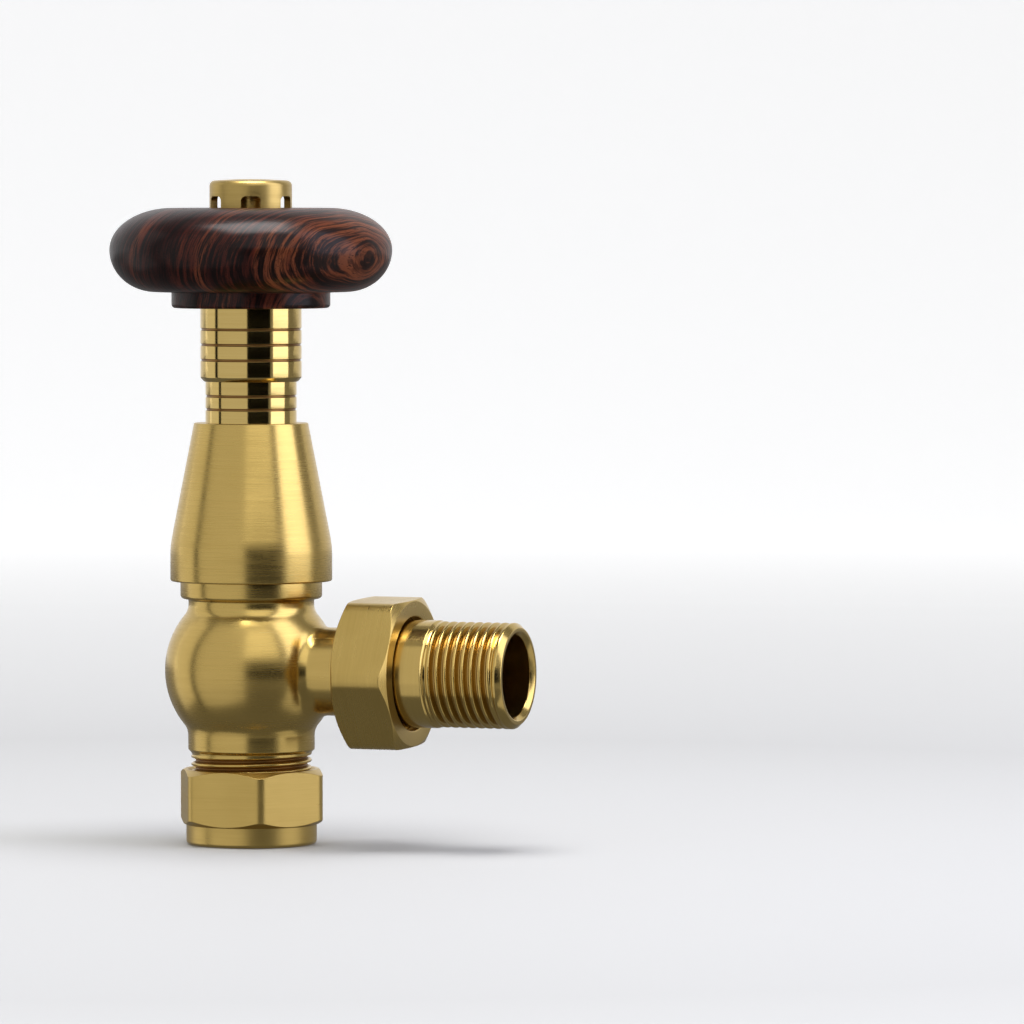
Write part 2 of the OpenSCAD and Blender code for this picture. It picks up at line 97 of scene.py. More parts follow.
def hexRadius(flats, corner, turnedRadius, turn=0.0):
    # the radius of a hexagon with rounded corners at each angle, cut down to the turned radius
    def radius(angle):
        off = np.abs((angle - math.radians(turn) + math.pi / 6) % (math.pi / 3) - math.pi / 6)
        apothem = flats / 2
        flat = apothem / np.cos(math.pi / 6 - off)
        centre = (apothem - corner) / math.cos(math.pi / 6)
        inside = np.maximum(corner ** 2 - (centre * np.sin(off)) ** 2, 0)
        curved = centre * np.cos(off) + np.sqrt(inside)
        touch = math.atan2(corner * math.sin(math.pi / 6), centre + corner * math.cos(math.pi / 6))
        return np.minimum(np.where(off < touch, curved, flat), turnedRadius)
    return radius


def ringPoints(ring, angles):
    # one ring of points, whose radius and height are numbers or functions of the angle
    radius, height = (v(angles) if callable(v) else np.full(len(angles), float(v)) for v in ring)
    return np.column_stack([radius * np.cos(angles), radius * np.sin(angles), height]) * mm


def turned(bm, rings, sides, closed=False, place=None):
    # skins rings into a surface, and returns its rows of vertices
    angles = np.arange(sides) * 2 * math.pi / sides
    rows = []
    for ring in rings:
        points = ringPoints(ring, angles)
        rows.append([bm.verts.new((place @ Vector(p)) if place else p) for p in points])
    pairs = list(zip(rows, rows[1:])) + ([(rows[-1], rows[0])] if closed else [])
    for low, high in pairs:
        for j in range(sides):
            k = (j + 1) % sides
            bm.faces.new((low[j], low[k], high[k], high[j]))
    return rows


def linked(bm, name):
    # the mesh as a new object in the scene
    mesh = bpy.data.meshes.new(name)
    bm.to_mesh(mesh)
    bm.free()
    piece = bpy.data.objects.new(name, mesh)
    scene.collection.objects.link(piece)
    return piece


def finished(bm, name, sharp=32):
    # welds the seams, turns the faces outwards and makes the object
    bmesh.ops.remove_doubles(bm, verts=bm.verts, dist=weldDistance)
    bmesh.ops.dissolve_degenerate(bm, dist=1e-7, edges=bm.edges)
    bmesh.ops.recalc_face_normals(bm, faces=bm.faces)
    piece = linked(bm, name)
    piece.data.shade_smooth()
    piece.data.set_sharp_from_angle(angle=math.radians(sharp))
    return piece


def turnedPiece(name, rings, sides=128, place=None, sharp=32):
    bm = bmesh.new()
    turned(bm, rings, sides, closed=True, place=place)
    return finished(bm, name, sharp)


def walkLoops(bm):
    # the open edges of a mesh as ordered loops of vertices
    openEdges = {e for e in bm.edges if len(e.link_faces) == 1}
    loops = []
    while openEdges:
        edge = openEdges.pop()
        loop, at = [edge.verts[0]], edge.verts[1]
        while at != loop[0]:
            loop.append(at)
            edge = next(e for e in at.link_edges if e in openEdges)
            openEdges.discard(edge)
            at = edge.other_vert(at)
        loops.append(loop)
    return loops


def zipLoops(bm, first, second, angleOf):
    # fills the strip between two loops that run round the same axis
    def ordered(loop):
        angles = [angleOf(v.co) for v in loop]
        start = int(np.argmin(angles))
        loop, angles = loop[start:] + loop[:start], angles[start:] + angles[:start]
        if angles[1] - angles[0] > math.pi or angles[len(angles) // 4] > math.pi:
            loop, angles = [loop[0]] + loop[:0:-1], [angles[0]] + angles[:0:-1]
        return loop + [loop[0]], list(np.maximum.accumulate(angles)) + [angles[0] + 2 * math.pi]
    a, angleA = ordered(first)
    b, angleB = ordered(second)
    i = j = 0
    while i < len(a) - 1 or j < len(b) - 1:
        if j == len(b) - 1 or (i < len(a) - 1 and angleA[i + 1] <= angleB[j + 1]):
            corners = (a[i], a[i + 1], b[j])
            i += 1
        else:
            corners = (a[i], b[j + 1], b[j])
            j += 1
        if len(set(corners)) == 3:
            bm.faces.new(corners)


# node trees

def fill(tree, node, inputs):
    # links or sets each input of a node
    for socket, value in inputs.items():
        if isinstance(value, bpy.types.NodeSocket):
            tree.links.new(value, node.inputs[socket])
        else:
            node.inputs[socket].default_value = value


def addNode(tree, kind, inputs, **settings):
    node = tree.nodes.new(kind)
    for name, value in settings.items():
        setattr(node, name, value)
    fill(tree, node, inputs)
    return node


def calc(tree, operation, *values):
    return addNode(tree, "ShaderNodeMath", dict(enumerate(values)), operation=operation).outputs[0]


def smooth(tree, value, low, high):
    return addNode(tree, "ShaderNodeMapRange", {"Value": value, "From Min": low, "From Max": high},
                   interpolation_type="SMOOTHSTEP").outputs[0]


def newTree(name, inputs):
    # an empty geometry tree with named inputs
    tree = bpy.data.node_groups.new(name, "GeometryNodeTree")
    tree.interface.new_socket("Geometry", in_out="INPUT", socket_type="NodeSocketGeometry")
    for label, kind in inputs.items():
        tree.interface.new_socket(label, in_out="INPUT", socket_type=kind)
    tree.interface.new_socket("Geometry", in_out="OUTPUT", socket_type="NodeSocketGeometry")
    return tree, tree.nodes.new("NodeGroupInput").outputs, tree.nodes.new("NodeGroupOutput").inputs


def closeTree(tree, geometry, given, out):
    # Realize Instances and Set Material end every tree
    real = addNode(tree, "GeometryNodeRealizeInstances", {"Geometry": geometry})
    painted = addNode(tree, "GeometryNodeSetMaterial",
                      {"Geometry": real.outputs[0], "Material": given["Material"]})
    tree.links.new(painted.outputs[0], out[0])


def grown(tree, values, base=None):
    # runs a tree on an object with the given inputs, and returns the result as a plain mesh
    carrier = base or bpy.data.objects.new("carrier", bpy.data.meshes.new("carrier"))
    if base is None:
        scene.collection.objects.link(carrier)
    modifier = carrier.modifiers.new("grow", "NODES")
    modifier.node_group = tree
    for item in tree.interface.items_tree:
        if item.in_out == "INPUT" and item.name in values:
            modifier[item.identifier] = values[item.name]
    bpy.context.view_layer.update()
    graph = bpy.context.evaluated_depsgraph_get()
    mesh = bpy.data.meshes.new_from_object(carrier.evaluated_get(graph), depsgraph=graph)
    carrier.modifiers.remove(modifier)
    if base is None:
        bpy.data.objects.remove(carrier)
    return mesh


def threadTree():
    # a right-handed thread: a grid rolled round the axis, whose rows climb one pitch a turn
    tree, given, out = newTree("cutThread", {
        "Crest Radius": "NodeSocketFloat", "Depth": "NodeSocketFloat", "Lead": "NodeSocketFloat",
        "Starts": "NodeSocketFloat", "Start": "NodeSocketFloat", "End": "NodeSocketFloat",
        "Run In": "NodeSocketFloat", "Run Out": "NodeSocketFloat",
        "Material": "NodeSocketMaterial"})
    length = calc(tree, "SUBTRACT", given["End"], given["Start"])
    turns = calc(tree, "ADD", calc(tree, "CEIL", calc(tree, "DIVIDE", length, given["Lead"])), 1)
    grid = addNode(tree, "GeometryNodeMeshGrid", {
        "Size X": 1, "Size Y": 1, "Vertices X": threadSides + 1,
        "Vertices Y": calc(tree, "MULTIPLY_ADD", turns, rowsPerTurn, 1)})
    position = tree.nodes.new("GeometryNodeInputPosition").outputs[0]
    split = addNode(tree, "ShaderNodeSeparateXYZ", {0: position})
    around = calc(tree, "ADD", split.outputs[0], 0.5)
    along = calc(tree, "MULTIPLY", calc(tree, "ADD", split.outputs[1], 0.5), turns)
    climb = calc(tree, "SUBTRACT", calc(tree, "ADD", along, around), 1)
    height = calc(tree, "MULTIPLY_ADD", climb, given["Lead"], given["Start"])
    low = smooth(tree, height, given["Start"], calc(tree, "ADD", given["Start"], given["Run In"]))
    outStart = calc(tree, "SUBTRACT", given["End"], given["Run Out"])
    high = smooth(tree, height, outStart, given["End"])
    fade = calc(tree, "MULTIPLY", low, calc(tree, "SUBTRACT", 1, high))
    # the small shift keeps every row of points off the jump from one turn to the next
    phase = calc(tree, "FRACT", calc(tree, "MULTIPLY_ADD", along, given["Starts"], 0.0001))
    slope = calc(tree, "ABSOLUTE", calc(tree, "MULTIPLY_ADD", phase, 2, -1))
    groove = calc(tree, "SUBTRACT", 1, smooth(tree, slope, 0.06, 0.86))
    cut = calc(tree, "MULTIPLY", calc(tree, "MULTIPLY", groove, given["Depth"]), fade)
    radius = calc(tree, "SUBTRACT", given["Crest Radius"], cut)
    level = calc(tree, "MINIMUM", calc(tree, "MAXIMUM", height, given["Start"]), given["End"])
    angle = calc(tree, "MULTIPLY", around, 2 * math.pi)
    place = addNode(tree, "ShaderNodeCombineXYZ", {
        "X": calc(tree, "MULTIPLY", radius, calc(tree, "COSINE", angle)),
        "Y": calc(tree, "MULTIPLY", radius, calc(tree, "SINE", angle)), "Z": level})
    move = addNode(tree, "GeometryNodeSetPosition",
                   {"Geometry": grid.outputs["Mesh"], "Position": place.outputs[0]})
    weld = addNode(tree, "GeometryNodeMergeByDistance",
                   {"Geometry": move.outputs[0], "Distance": weldDistance})
    closeTree(tree, weld.outputs[0], given, out)
    return tree


cutThread = threadTree()


def addThread(bm, crest, depth, lead, start, end, runIn, runOut, place=None, starts=1):
    # adds a threaded stretch to a turned piece, in millimetres
    mesh = grown(cutThread, {"Crest Radius": crest * mm, "Depth": depth * mm, "Lead": lead * mm,
                             "Starts": float(starts), "Start": start * mm, "End": end * mm,
                             "Run In": runIn * mm, "Run Out": runOut * mm})
    if place:
        mesh.transform(place)
    bm.from_mesh(mesh)
    bpy.data.meshes.remove(mesh)


# finishes

def newMaterial(name):
    material = bpy.data.materials.new(name)
    material.use_nodes = True
    tree = material.node_tree
    shader = tree.nodes["Principled BSDF"]
    place = tree.nodes.new("ShaderNodeTexCoord").outputs["Object"]
    return material, tree, shader, place


def noise(tree, place, scale, stretch=(1, 1, 1), detail=3, rough=0.55, turn=(0, 0, 0)):
    # the scale is a frequency per millimetre, times the stretch along each axis
    mapping = addNode(tree, "ShaderNodeMapping", {
        "Rotation": turn, "Scale": [mm / (scale * s) for s in stretch], "Vector": place},
        vector_type="TEXTURE")
    node = addNode(tree, "ShaderNodeTexNoise", {
        "Scale": 1, "Detail": detail, "Roughness": rough, "Vector": mapping.outputs[0]})
    return node.outputs["Fac"]


def span(tree, value, low, high, first, last):
    # the value from low to high becomes first to last, and stays there beyond
    node = addNode(tree, "ShaderNodeMapRange", {
        "Value": value, "From Min": low, "From Max": high, "To Min": first, "To Max": last})
    return node.outputs[0]


def mixColour(tree, factor, first, second):
    # 6 and 7 are the two colour inputs, and 2 is the colour output
    first, second = (c if isinstance(c, bpy.types.NodeSocket) else (*c, 1) for c in (first, second))
    return addNode(tree, "ShaderNodeMix", {"Factor": factor, 6: first, 7: second},
                   data_type="RGBA").outputs[2]


def bump(tree, shader, height, distance):
    # the distance is in millimetres
    node = addNode(tree, "ShaderNodeBump", {"Distance": distance * mm, "Height": height})
    fill(tree, shader, {"Normal": node.outputs[0]})


# the brown of oxide in grooves, also used as painted shade down the tail's bore
grimeAndShadeColour = (0.17, 0.06, 0.018)


def brass(name, colour, dull, roughness, axis, lines, anisotropy=0.0):
    # brushed brass: fine lines run round the axis, with soft patches of tone and roughness
    material, tree, shader, place = newMaterial(name)
    along = {"x": (1, 0.02, 0.02), "z": (0.02, 0.02, 1)}[axis]
    fine = noise(tree, place, 7.0, along, detail=2)
    coarse = noise(tree, place, 1.6, along, detail=4, rough=0.7)
    patches = noise(tree, place, 0.09, detail=2)
    grain = noise(tree, place, 3.2, detail=2)
    brush = calc(tree, "MULTIPLY_ADD", coarse, 0.55, calc(tree, "MULTIPLY", fine, 0.45))
    grimeAndShade = addNode(tree, "ShaderNodeAttribute", {}, attribute_name="grimeAndShade").outputs["Fac"]
    tone = mixColour(tree, span(tree, brush, 0.35, 0.65, 0, 0.35), colour, dull)
    tone = mixColour(tree, span(tree, patches, 0.35, 0.65, 0, 0.25), tone, dull)
    # oxide in the grooves and painted shade down the tail's bore darken the tone here
    tone = mixColour(tree, calc(tree, "MULTIPLY", grimeAndShade, 0.8), tone, grimeAndShadeColour)
    cloudy = calc(tree, "MULTIPLY_ADD", span(tree, patches, 0.3, 0.7, -1, 1),
                  roughness * 0.12, roughness)
    worn = calc(tree, "MULTIPLY_ADD", span(tree, brush, 0.3, 0.7, -1, 1), roughness * 0.2, cloudy)
    dusty = calc(tree, "MULTIPLY_ADD", grimeAndShade, 0.2, worn)
    fill(tree, shader, {"Base Color": tone, "Metallic": 1, "Roughness": dusty})
    if anisotropy:
        tangent = addNode(tree, "ShaderNodeTangent", {}, direction_type="RADIAL", axis=axis.upper())
        fill(tree, shader, {"Anisotropic": anisotropy, "Anisotropic Rotation": 0.25,
                            "Tangent": tangent.outputs[0]})
    bump(tree, shader, calc(tree, "MULTIPLY_ADD", grain, 0.15, brush), lines)
    return material


def shifted(tree, place, amount, way):
    # the place, moved by a fixed way times an amount
    scaled = addNode(tree, "ShaderNodeVectorMath", {0: way, "Scale": amount}, operation="SCALE")
    return addNode(tree, "ShaderNodeVectorMath", {0: place, 1: scaled.outputs[0]},
                   operation="ADD").outputs[0]


def rosewood():
    # dark streaked hardwood under satin lacquer
    look = {"black": (0.003, 0.001, 0.001), "brown": (0.016, 0.0026, 0.002),
            "red": (0.056, 0.010, 0.005), "orange": (0.125, 0.034, 0.013),
            "grain": (0, 0.26, -0.23), "bend": (0.005, -0.002, 0.004), "ripple": (0.004, 0, 0.002),
            "paintedSheen": 6.5, "coat": 0.3, "coatRoughness": 0.25, "specular": 0.03, "relief": 0.02}
    material, tree, shader, place = newMaterial("rosewood")
    turn = look["grain"]
    bend = noise(tree, place, 0.05, (1.0, 0.25, 0.6), detail=2, turn=turn)
    wood = shifted(tree, place, bend, look["bend"])
    # a closer ripple keeps the rings from closing into neat circles
    ripple = noise(tree, place, 0.07, (0.7, 1.0, 0.8), detail=1, turn=turn)
    wood = shifted(tree, wood, ripple, look["ripple"])
    broad = noise(tree, wood, 0.22, (1.0, 0.05, 0.16), detail=3, rough=0.6, turn=turn)
    streak = noise(tree, wood, 1.5, (1.0, 0.02, 0.08), detail=4, rough=0.65, turn=turn)
    fine = noise(tree, wood, 3.6, (1.0, 0.03, 0.08), detail=3, rough=0.6, turn=turn)
    pore = noise(tree, wood, 6.0, (1.0, 0.06, 0.5), detail=1, turn=turn)
    # painted sheen: the wood is painted paler and more orange towards +X, the right of the wheel as
    # the camera sees it, where the top light's sheen falls
    across = addNode(tree, "ShaderNodeSeparateXYZ", {0: place}).outputs["X"]
    broad = calc(tree, "MULTIPLY_ADD", across, look["paintedSheen"], broad)
    body = mixColour(tree, span(tree, broad, 0.38, 0.56, 0, 1), look["brown"], look["red"])
    body = mixColour(tree, span(tree, broad, 0.54, 0.7, 0, 1), body, look["orange"])
    for lines, low, high, share in ((streak, 0.46, 0.56, 0.92), (fine, 0.5, 0.62, 0.7),
                                    (pore, 0.64, 0.7, 0.7)):
        body = mixColour(tree, span(tree, lines, low, high, 0, share), body, look["black"])
    fill(tree, shader, {
        "Base Color": body, "Roughness": span(tree, fine, 0.3, 0.7, 0.32, 0.42),
        "Coat Weight": look["coat"], "Coat Roughness": look["coatRoughness"],
        "Specular IOR Level": look["specular"]})
    bump(tree, shader, calc(tree, "MULTIPLY_ADD", pore, -0.5, fine), look["relief"])
    return material


def plainFinish(name, colour, other, metallic, roughness, grainSize, relief, stretch=(1, 1, 1)):
    # one tone with a mottle, for steel, rubber and plastic
    material, tree, shader, place = newMaterial(name)
    mottle = noise(tree, place, grainSize, stretch, detail=3)
    fine = noise(tree, place, grainSize * 5, stretch, detail=2)
    tone = mixColour(tree, span(tree, mottle, 0.35, 0.65, 0, 1), colour, other)
    polish = span(tree, fine, 0.3, 0.7, roughness * 0.85, roughness * 1.2)
    fill(tree, shader, {"Base Color": tone, "Metallic": metallic, "Roughness": polish})
    bump(tree, shader, calc(tree, "ADD", mottle, fine), relief)
    return material


brassTone = (0.61, 0.43, 0.135)
brassDull = (0.50, 0.34, 0.095)
finishes = {
    "satinZ": brass("satinBrassUpright", brassTone, brassDull, 0.27, "z", 0.010, 0.35),
    "castZ": brass("satinBrassGlobe", brassTone, brassDull, 0.25, "z", 0.007, 0.2),
    "capZ": brass("satinBrassCap", (0.50, 0.355, 0.12), (0.38, 0.26, 0.075), 0.36, "z", 0.008),
    "turnedZ": brass("turnedBrassUpright", (0.64, 0.47, 0.17), brassDull, 0.12, "z", 0.002, 0.6),
    "turnedX": brass("turnedBrassAcross", (0.63, 0.45, 0.15), brassDull, 0.17, "x", 0.004),
    "nutZ": brass("brushedNutUpright", brassTone, brassDull, 0.34, "z", 0.012),
    "nutX": brass("brushedNutAcross", brassTone, (0.40, 0.27, 0.07), 0.3, "x", 0.03),
    "innerZ": brass("machinedBrassUpright", (0.58, 0.40, 0.13), brassDull, 0.3, "z", 0.008),
    "steel": plainFinish("springSteel", (0.62, 0.62, 0.62), (0.5, 0.5, 0.51), 1, 0.28, 1.2, 0.004),
    "capsule": plainFinish("drawnAluminium", (0.75, 0.75, 0.77), (0.66, 0.66, 0.69), 1, 0.35, 0.8,
                           0.004, (0.05, 0.05, 1)),
    "rubber": plainFinish("sealRubber", (0.012, 0.012, 0.013), (0.02, 0.02, 0.021), 0, 0.5, 1.5,
                          0.01),
    "plastic": plainFinish("guidePlastic", (0.72, 0.7, 0.62), (0.78, 0.76, 0.69), 0, 0.42, 0.8,
                           0.01),
    "rosewood": rosewood(),
}
print("finishes made:", len(finishes))


def paint(piece, finish):
    piece.data.materials.clear()
    piece.data.materials.append(finishes[finish])


def addGrimeAndShade(piece, shade):
    # stores how far a point lies in a groove or down a bore, for the finish to darken: oxide in
    # grooves, and painted shade down the tail's bore
    points = np.zeros(len(piece.data.vertices) * 3, np.float32)
    piece.data.vertices.foreach_get("co", points)
    value = np.clip(shade(points.reshape(-1, 3) / mm), 0, 1).astype(np.float32)
    piece.data.attributes.new("grimeAndShade", "FLOAT", "POINT").data.foreach_set("value", value)


def settle(piece, node, body, finish):
    # paints a finished piece and puts it in place of its CAD node
    paint(piece, finish)
    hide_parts(node)
    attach(piece, body)
    print("  made", piece.name)


# body

outletZ = 34.7
alongOutlet = (Matrix.Translation((0, 0, outletZ * mm)) @ Matrix.Rotation(math.pi / 2, 4, "Y")
               @ Matrix.Rotation(math.pi / 2, 4, "Z"))

# lengths, radii and heights are in millimetres, and bossStart and bossEnd run along the outlet
globe = {
    "radius": 17.2, "lowerNeck": 12.6, "lowerNeckBottom": 18.9, "upperNeck": 12.5,
    "neckFillet": 3.5, "outletNeck": 8.75, "outletFillet": 4.0,
    "foot": 5.5, "footRadius": 11.6, "footBore": 9.6,
    "threadStart": 6.1, "threadEnd": 18.3, "threadRadius": 12.0, "threadPitch": 1.5,
    "threadDepth": 0.92,
    "collarRadius": 14.1, "collarBottom": 48.9, "collarRound": 2.3, "collarTop": 56,
    "waist": 13.1, "waistBottom": 53.5, "waistTop": 55.1,
    "socket": 7.6, "socketBottom": 8.5, "socketTop": 18, "inletBore": 6.0,
    "seat": 7.2, "seatTop": 27,
    "chamber": 10.6, "chamberFloor": 26.5, "chamberTop": 45, "bonnetBore": 9.8,
    "outletBore": 6.5, "outletStart": 14, "outletMouth": 10.4, "mouthEnd": 27.6,
    "bossRadius": 13.2205, "bossFace": 12.4, "bossStart": 23.6, "bossEnd": 31.5, "bossPitch": 1.814,
    "bossDepth": 1.1, "bossRunIn": 0.8, "bossChamfer": 0.5,
}


def filletPoint(neck, fillet):
    # where a neck's fillet touches the globe, and the fillet's centre
    reach = globe["radius"] + fillet
    middle = (neck + fillet, math.sqrt(reach ** 2 - (neck + fillet) ** 2))
    share = globe["radius"] / reach
    return middle, (middle[0] * share, middle[1] * share)


def makeBody():
    g = globe
    bm = bmesh.new()
    lowMid, lowTouch = filletPoint(g["lowerNeck"], g["neckFillet"])
    topMid, topTouch = filletPoint(g["upperNeck"], g["neckFillet"])
    lowAngle = math.degrees(math.atan2(lowTouch[1], lowTouch[0]))
    topAngle = math.degrees(math.atan2(topTouch[1], topTouch[0]))
    z0 = outletZ
    outer = rounded([
        ("threadRadius", "threadEnd", 0), ("lowerNeck", "lowerNeckBottom", 0.35),
        ("lowerNeck", z0 - lowMid[1], 0)], g)
    outer += arc((lowMid[0], z0 - lowMid[1]), g["neckFillet"], 180, 180 - lowAngle, 8)[1:]
    outer += arc((0, z0), g["radius"], -lowAngle, topAngle, 72)[1:]
    outer += arc((topMid[0], z0 + topMid[1]), g["neckFillet"], 180 + topAngle, 180, 8)[1:]
    outer += rounded([
        ("upperNeck", z0 + topMid[1], 0), ("upperNeck", "collarBottom", 0.7),
        ("collarRadius", "collarBottom", "collarRound"), ("collarRadius", "waistBottom", 0.1),
        ("waist", "waistBottom", 0.1), ("waist", "waistTop", 0.1),
        ("collarRadius", "waistTop", 0.1), ("collarRadius", "collarTop", 0.3),
        ("bonnetBore", "collarTop", 0.3), ("bonnetBore", "chamberTop", 0.2),
        ("chamber", "chamberTop", 0.3), ("chamber", g["chamberTop"] - 0.5, 0)], g)[1:]
    # the chamber's wall has many rows, so that the outlet's hole can be opened in it
    wall = [(g["chamber"], h) for h in np.linspace(g["chamberTop"] - 1, g["seatTop"] + 0.3, 48)]
    inner = rounded([
        ("chamber", g["seatTop"] + 0.2, 0), ("chamber", "chamberFloor", 0.4),
        ("seat", "chamberFloor", 0.2), ("seat", "seatTop", 0.15), ("inletBore", "seatTop", 0.15),
        ("inletBore", "socketTop", 0.2), ("socket", "socketTop", 0.3),
        ("socket", "socketBottom", 0.2), ("footBore", "foot", 0.15), ("footRadius", "foot", 0.3),
        (g["threadRadius"] - 0.05, g["threadStart"] - 0.2, 0.1),
        ("threadRadius", "threadStart", 0)], g)
    turned(bm, outer + wall + inner, threadSides)

    # open the globe and the chamber's wall where the outlet passes
    touch = filletPoint(g["outletNeck"], g["outletFillet"])
    reachGlobe, reachWall = touch[1][0] + 0.45, g["outletBore"] + 0.35

    def cutAway(v):
        x, y, z = v.co / mm
        away = math.hypot(y, z - z0)
        if x < 0:
            return False
        onGlobe = abs(math.hypot(x, y, z - z0) - g["radius"]) < 0.01
        onWall = abs(math.hypot(x, y) - g["chamber"]) < 0.01
        return (onGlobe and away < reachGlobe) or (onWall and away < reachWall)

    doomed = {f for v in bm.verts if cutAway(v) for f in v.link_faces}
    bmesh.ops.delete(bm, geom=list(doomed), context="FACES")

    def meanX(loop):
        return sum(v.co.x for v in loop) / len(loop)

    # the loops at the profile's own ends have their middle on the axis and are left alone
    holes = sorted((loop for loop in walkLoops(bm) if meanX(loop) > 2 * mm), key=meanX)

    # the outlet, from the globe out to the boss and back down its bore
    mid, edge = touch
    outletAngle = math.degrees(math.atan2(edge[1], edge[0]))
    threadFrom, threadTo = g["bossStart"] + g["bossRunIn"], g["bossEnd"] - g["bossChamfer"]
    neck = arc(mid, g["outletFillet"], 180 + outletAngle, 180, 12)
    neck += rounded([
        ("outletNeck", mid[1], 0), ("outletNeck", "bossStart", 0.4), ("bossFace", "bossStart", 0.3),
        ("bossRadius", threadFrom, 0)], g)[1:]
    mouth = rounded([
        ("bossRadius", threadTo, 0), (g["bossRadius"] - g["bossChamfer"], "bossEnd", 0.1),
        ("outletMouth", "bossEnd", 0.15), ("outletBore", "mouthEnd", 0.3),
        ("outletBore", "outletStart", 0)], g)

    def chamberCurve(angle):
        # where the outlet's bore meets the chamber's round wall
        return np.sqrt(g["chamber"] ** 2 - (g["outletBore"] * np.cos(angle)) ** 2)

    def angleOf(co):
        return math.atan2(co.y, co.z - z0 * mm) % (2 * math.pi)

    neckRows = turned(bm, neck, threadSides, place=alongOutlet)
    boreRows = turned(bm, mouth + [(g["outletBore"], chamberCurve)], threadSides, place=alongOutlet)
    addThread(bm, g["bossRadius"], g["bossDepth"], g["bossPitch"], threadFrom, threadTo, 1.2, 0.8,
              alongOutlet)
    addThread(bm, g["threadRadius"], g["threadDepth"], g["threadPitch"], g["threadStart"],
              g["threadEnd"], 0.8, 1.0)
    zipLoops(bm, holes[-1], neckRows[0], angleOf)
    zipLoops(bm, holes[0], boreRows[-1], angleOf)
    piece = finished(bm, "bodyCasting", sharp=38)
    settle(piece, "valve_body", "valve", "castZ")

    def shade(p):
        radius = np.hypot(p[:, 0], p[:, 1])
        return inGroove(radius, p[:, 2], g["threadRadius"], 0.9, 5, 18.2)
    addGrimeAndShade(piece, shade)


def inGroove(radius, height, crest, depth, low, high):
    # 1 at the bottom of a groove between two heights and 0 at its crest
    inside = (height > low) & (height < high)
    inside &= (radius < crest + 0.05) & (radius > crest - 1.3 * depth)
    return np.where(inside, (crest - radius) / depth, 0) ** 1.5


makeBody()
print("body made")


# nuts, olive and tail

def hexagonRings(n, turn=0.0):
    # the two curves where 30 degree chamfers meet a nut's rounded hexagon
    radius = hexRadius(n["flats"], n["corner"], n["turned"], turn)

    def curve(face, sign):
        return lambda a: face + sign * (radius(a) - n["chamfer"]) * math.tan(math.pi / 6)
    return [(radius, curve(n["start"], 1)), (radius, curve(n["end"], -1))]


def makeCompressionNut():
    n = {"flats": 27, "corner": 2.6, "turned": 16.3, "chamfer": 13.35, "start": 4, "end": 15,
         "collar": 13, "bore": 7.6, "boreTop": 3, "cone": 9.6, "coneTop": 5, "cavity": 12.1,
         "mouth": 12.75, "mouthDepth": 0.6}
    low = rounded([
        ("bore", n["boreTop"] - 0.2, 0), ("bore", 0, 0.3), ("collar", 0, 0.8),
        ("collar", "start", 0.25), ("chamfer", "start", 0)], n)
    high = rounded([
        ("chamfer", "end", 0), ("mouth", "end", 0.15), ("cavity", n["end"] - n["mouthDepth"], 0.2),
        ("cavity", "coneTop", 0.3), ("cone", "coneTop", 0.2), ("bore", "boreTop", 0.1),
        ("bore", n["boreTop"] - 0.15, 0)], n)
    piece = turnedPiece("pipeNut", low + hexagonRings(n) + high, nutSides)
    softenEdges(piece)
    settle(piece, "compression_nut", "pipe_ring", "nutZ")


def makeUnionNut():
    n = {"flats": 29, "corner": 3.4, "turned": 16.3, "chamfer": 14.35, "start": 23.1, "end": 35.1,
         "cavity": 13.32, "mouthDepth": 0.4, "seam": 25, "shoulder": 33, "hole": 11.3,
         "turn": 32.7 - 90}
    low = rounded([
        ("cavity", "seam", 0), ("cavity", n["start"] + n["mouthDepth"], 0.1),
        (n["cavity"] + n["mouthDepth"], "start", 0.1), ("chamfer", "start", 0)], n)
    high = rounded([
        ("chamfer", "end", 0), ("hole", "end", 0.3), ("hole", "shoulder", 0.15),
        ("cavity", "shoulder", 0.2), ("cavity", n["seam"] + 0.2, 0)], n)
    piece = turnedPiece("unionNut", low + hexagonRings(n, n["turn"]) + high, nutSides, alongOutlet)
    softenEdges(piece)
    settle(piece, "union_nut", "union_ring", "nutX")


def softenEdges(piece):
    # a narrow bevel along every crisp edge
    bevel = piece.modifiers.new("softEdges", "BEVEL")
    bevel.width = 0.22 * mm
    bevel.segments = 3
    bevel.limit_method = "ANGLE"
    bevel.angle_limit = math.radians(20)
    bevel.harden_normals = True
    bevel.use_clamp_overlap = True


